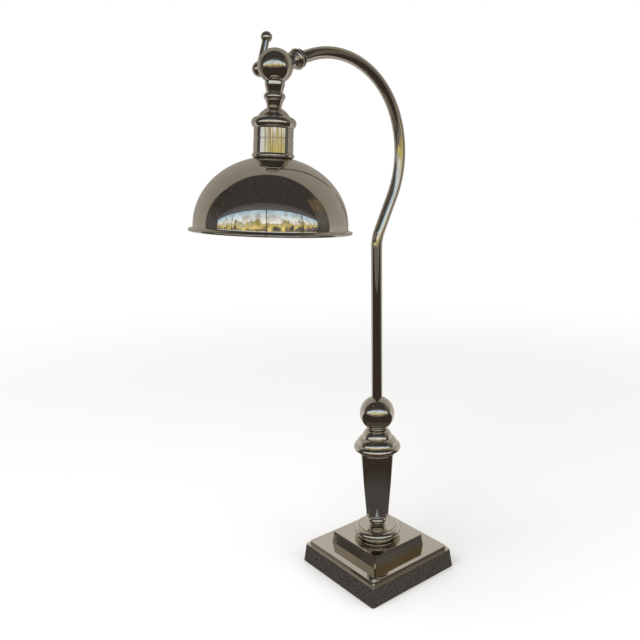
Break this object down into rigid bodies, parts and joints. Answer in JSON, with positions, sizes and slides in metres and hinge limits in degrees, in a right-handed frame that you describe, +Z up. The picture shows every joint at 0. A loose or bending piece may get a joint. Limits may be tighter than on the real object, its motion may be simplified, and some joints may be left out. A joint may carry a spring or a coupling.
{
  "type": "desk lamp",
  "caption": "Polished metal desk lamp with a stepped square base, turned column, swan-neck tube and a domed shade that tilts on a ball knuckle with a clamp lever.",
  "frame": {"origin": "centre of the underside of the felt, on the surface that the lamp stands on", "axes": "+Z up; the crook lies in the XZ plane with the shade towards -X, the cord inlet faces +X, and the clamp lever is on the +Y side of the knuckle"},
  "size_m": [0.3436, 0.1948, 0.7279],
  "materials": {
    "nickel": "polished warm nickel plate",
    "iron": "rough cast",
    "steel": "zinc plated",
    "felt": "matt felt",
    "black_plastic": "matt",
    "phenolic": "moulded",
    "brass": "bright",
    "bulb_metal": "bright",
    "bulb_glass": "frosted inside",
    "fibre": "pressed fibre",
    "lead": "matt",
    "gasket": "matt"
  },
  "bodies": {
    "stand": {"base_plinth": "nickel", "base_tier": "nickel", "base_weight": "iron", "base_cover": "steel", "base_felt": "felt", "cover_screws": "steel", "cord_bushing": "black_plastic", "foot_moulding": "nickel", "foot_bead": "nickel", "column": "nickel", "column_ring": "nickel", "capital": "nickel", "ball_collar": "nickel", "stem_ball": "nickel", "tie_rod": "steel", "tie_washer": "steel", "tie_nut": "steel", "crook_tube": "nickel", "arm_collar": "nickel", "knuckle_fixed": "nickel", "friction_disc": "fibre", "stem_lead": "lead"},
    "head": {"knuckle_moving": "nickel", "neck_stem": "nickel", "neck_nipple": "steel", "cap_nut": "steel", "cup_cap": "nickel", "cup_sleeve": "nickel", "cup_ring": "nickel", "shade_gasket": "gasket", "shade": "nickel", "shade_nut": "brass", "holder_body": "phenolic", "holder_shell": "brass", "holder_contact": "brass", "bulb_cap": "bulb_metal", "bulb_tip": "bulb_metal", "bulb_glass": "bulb_glass", "head_lead": "lead"},
    "lever": {"clamp_stud": "steel", "clamp_washer": "nickel", "lever_hub": "nickel", "lever_rod": "nickel", "lever_ball": "nickel"}
  },
  "joints": [
    {"name": "head_tilt", "type": "hinge", "parent": "stand", "child": "head", "pos_m": [-0.15838, 0, 0.68203], "axis": [0, 1, 0], "range_deg": [-30, 85]},
    {"name": "lever_turn", "type": "hinge", "parent": "stand", "child": "lever", "pos_m": [-0.15838, 0, 0.68203], "axis": [0, 1, 0], "range_deg": [0, 180]}
  ]
}
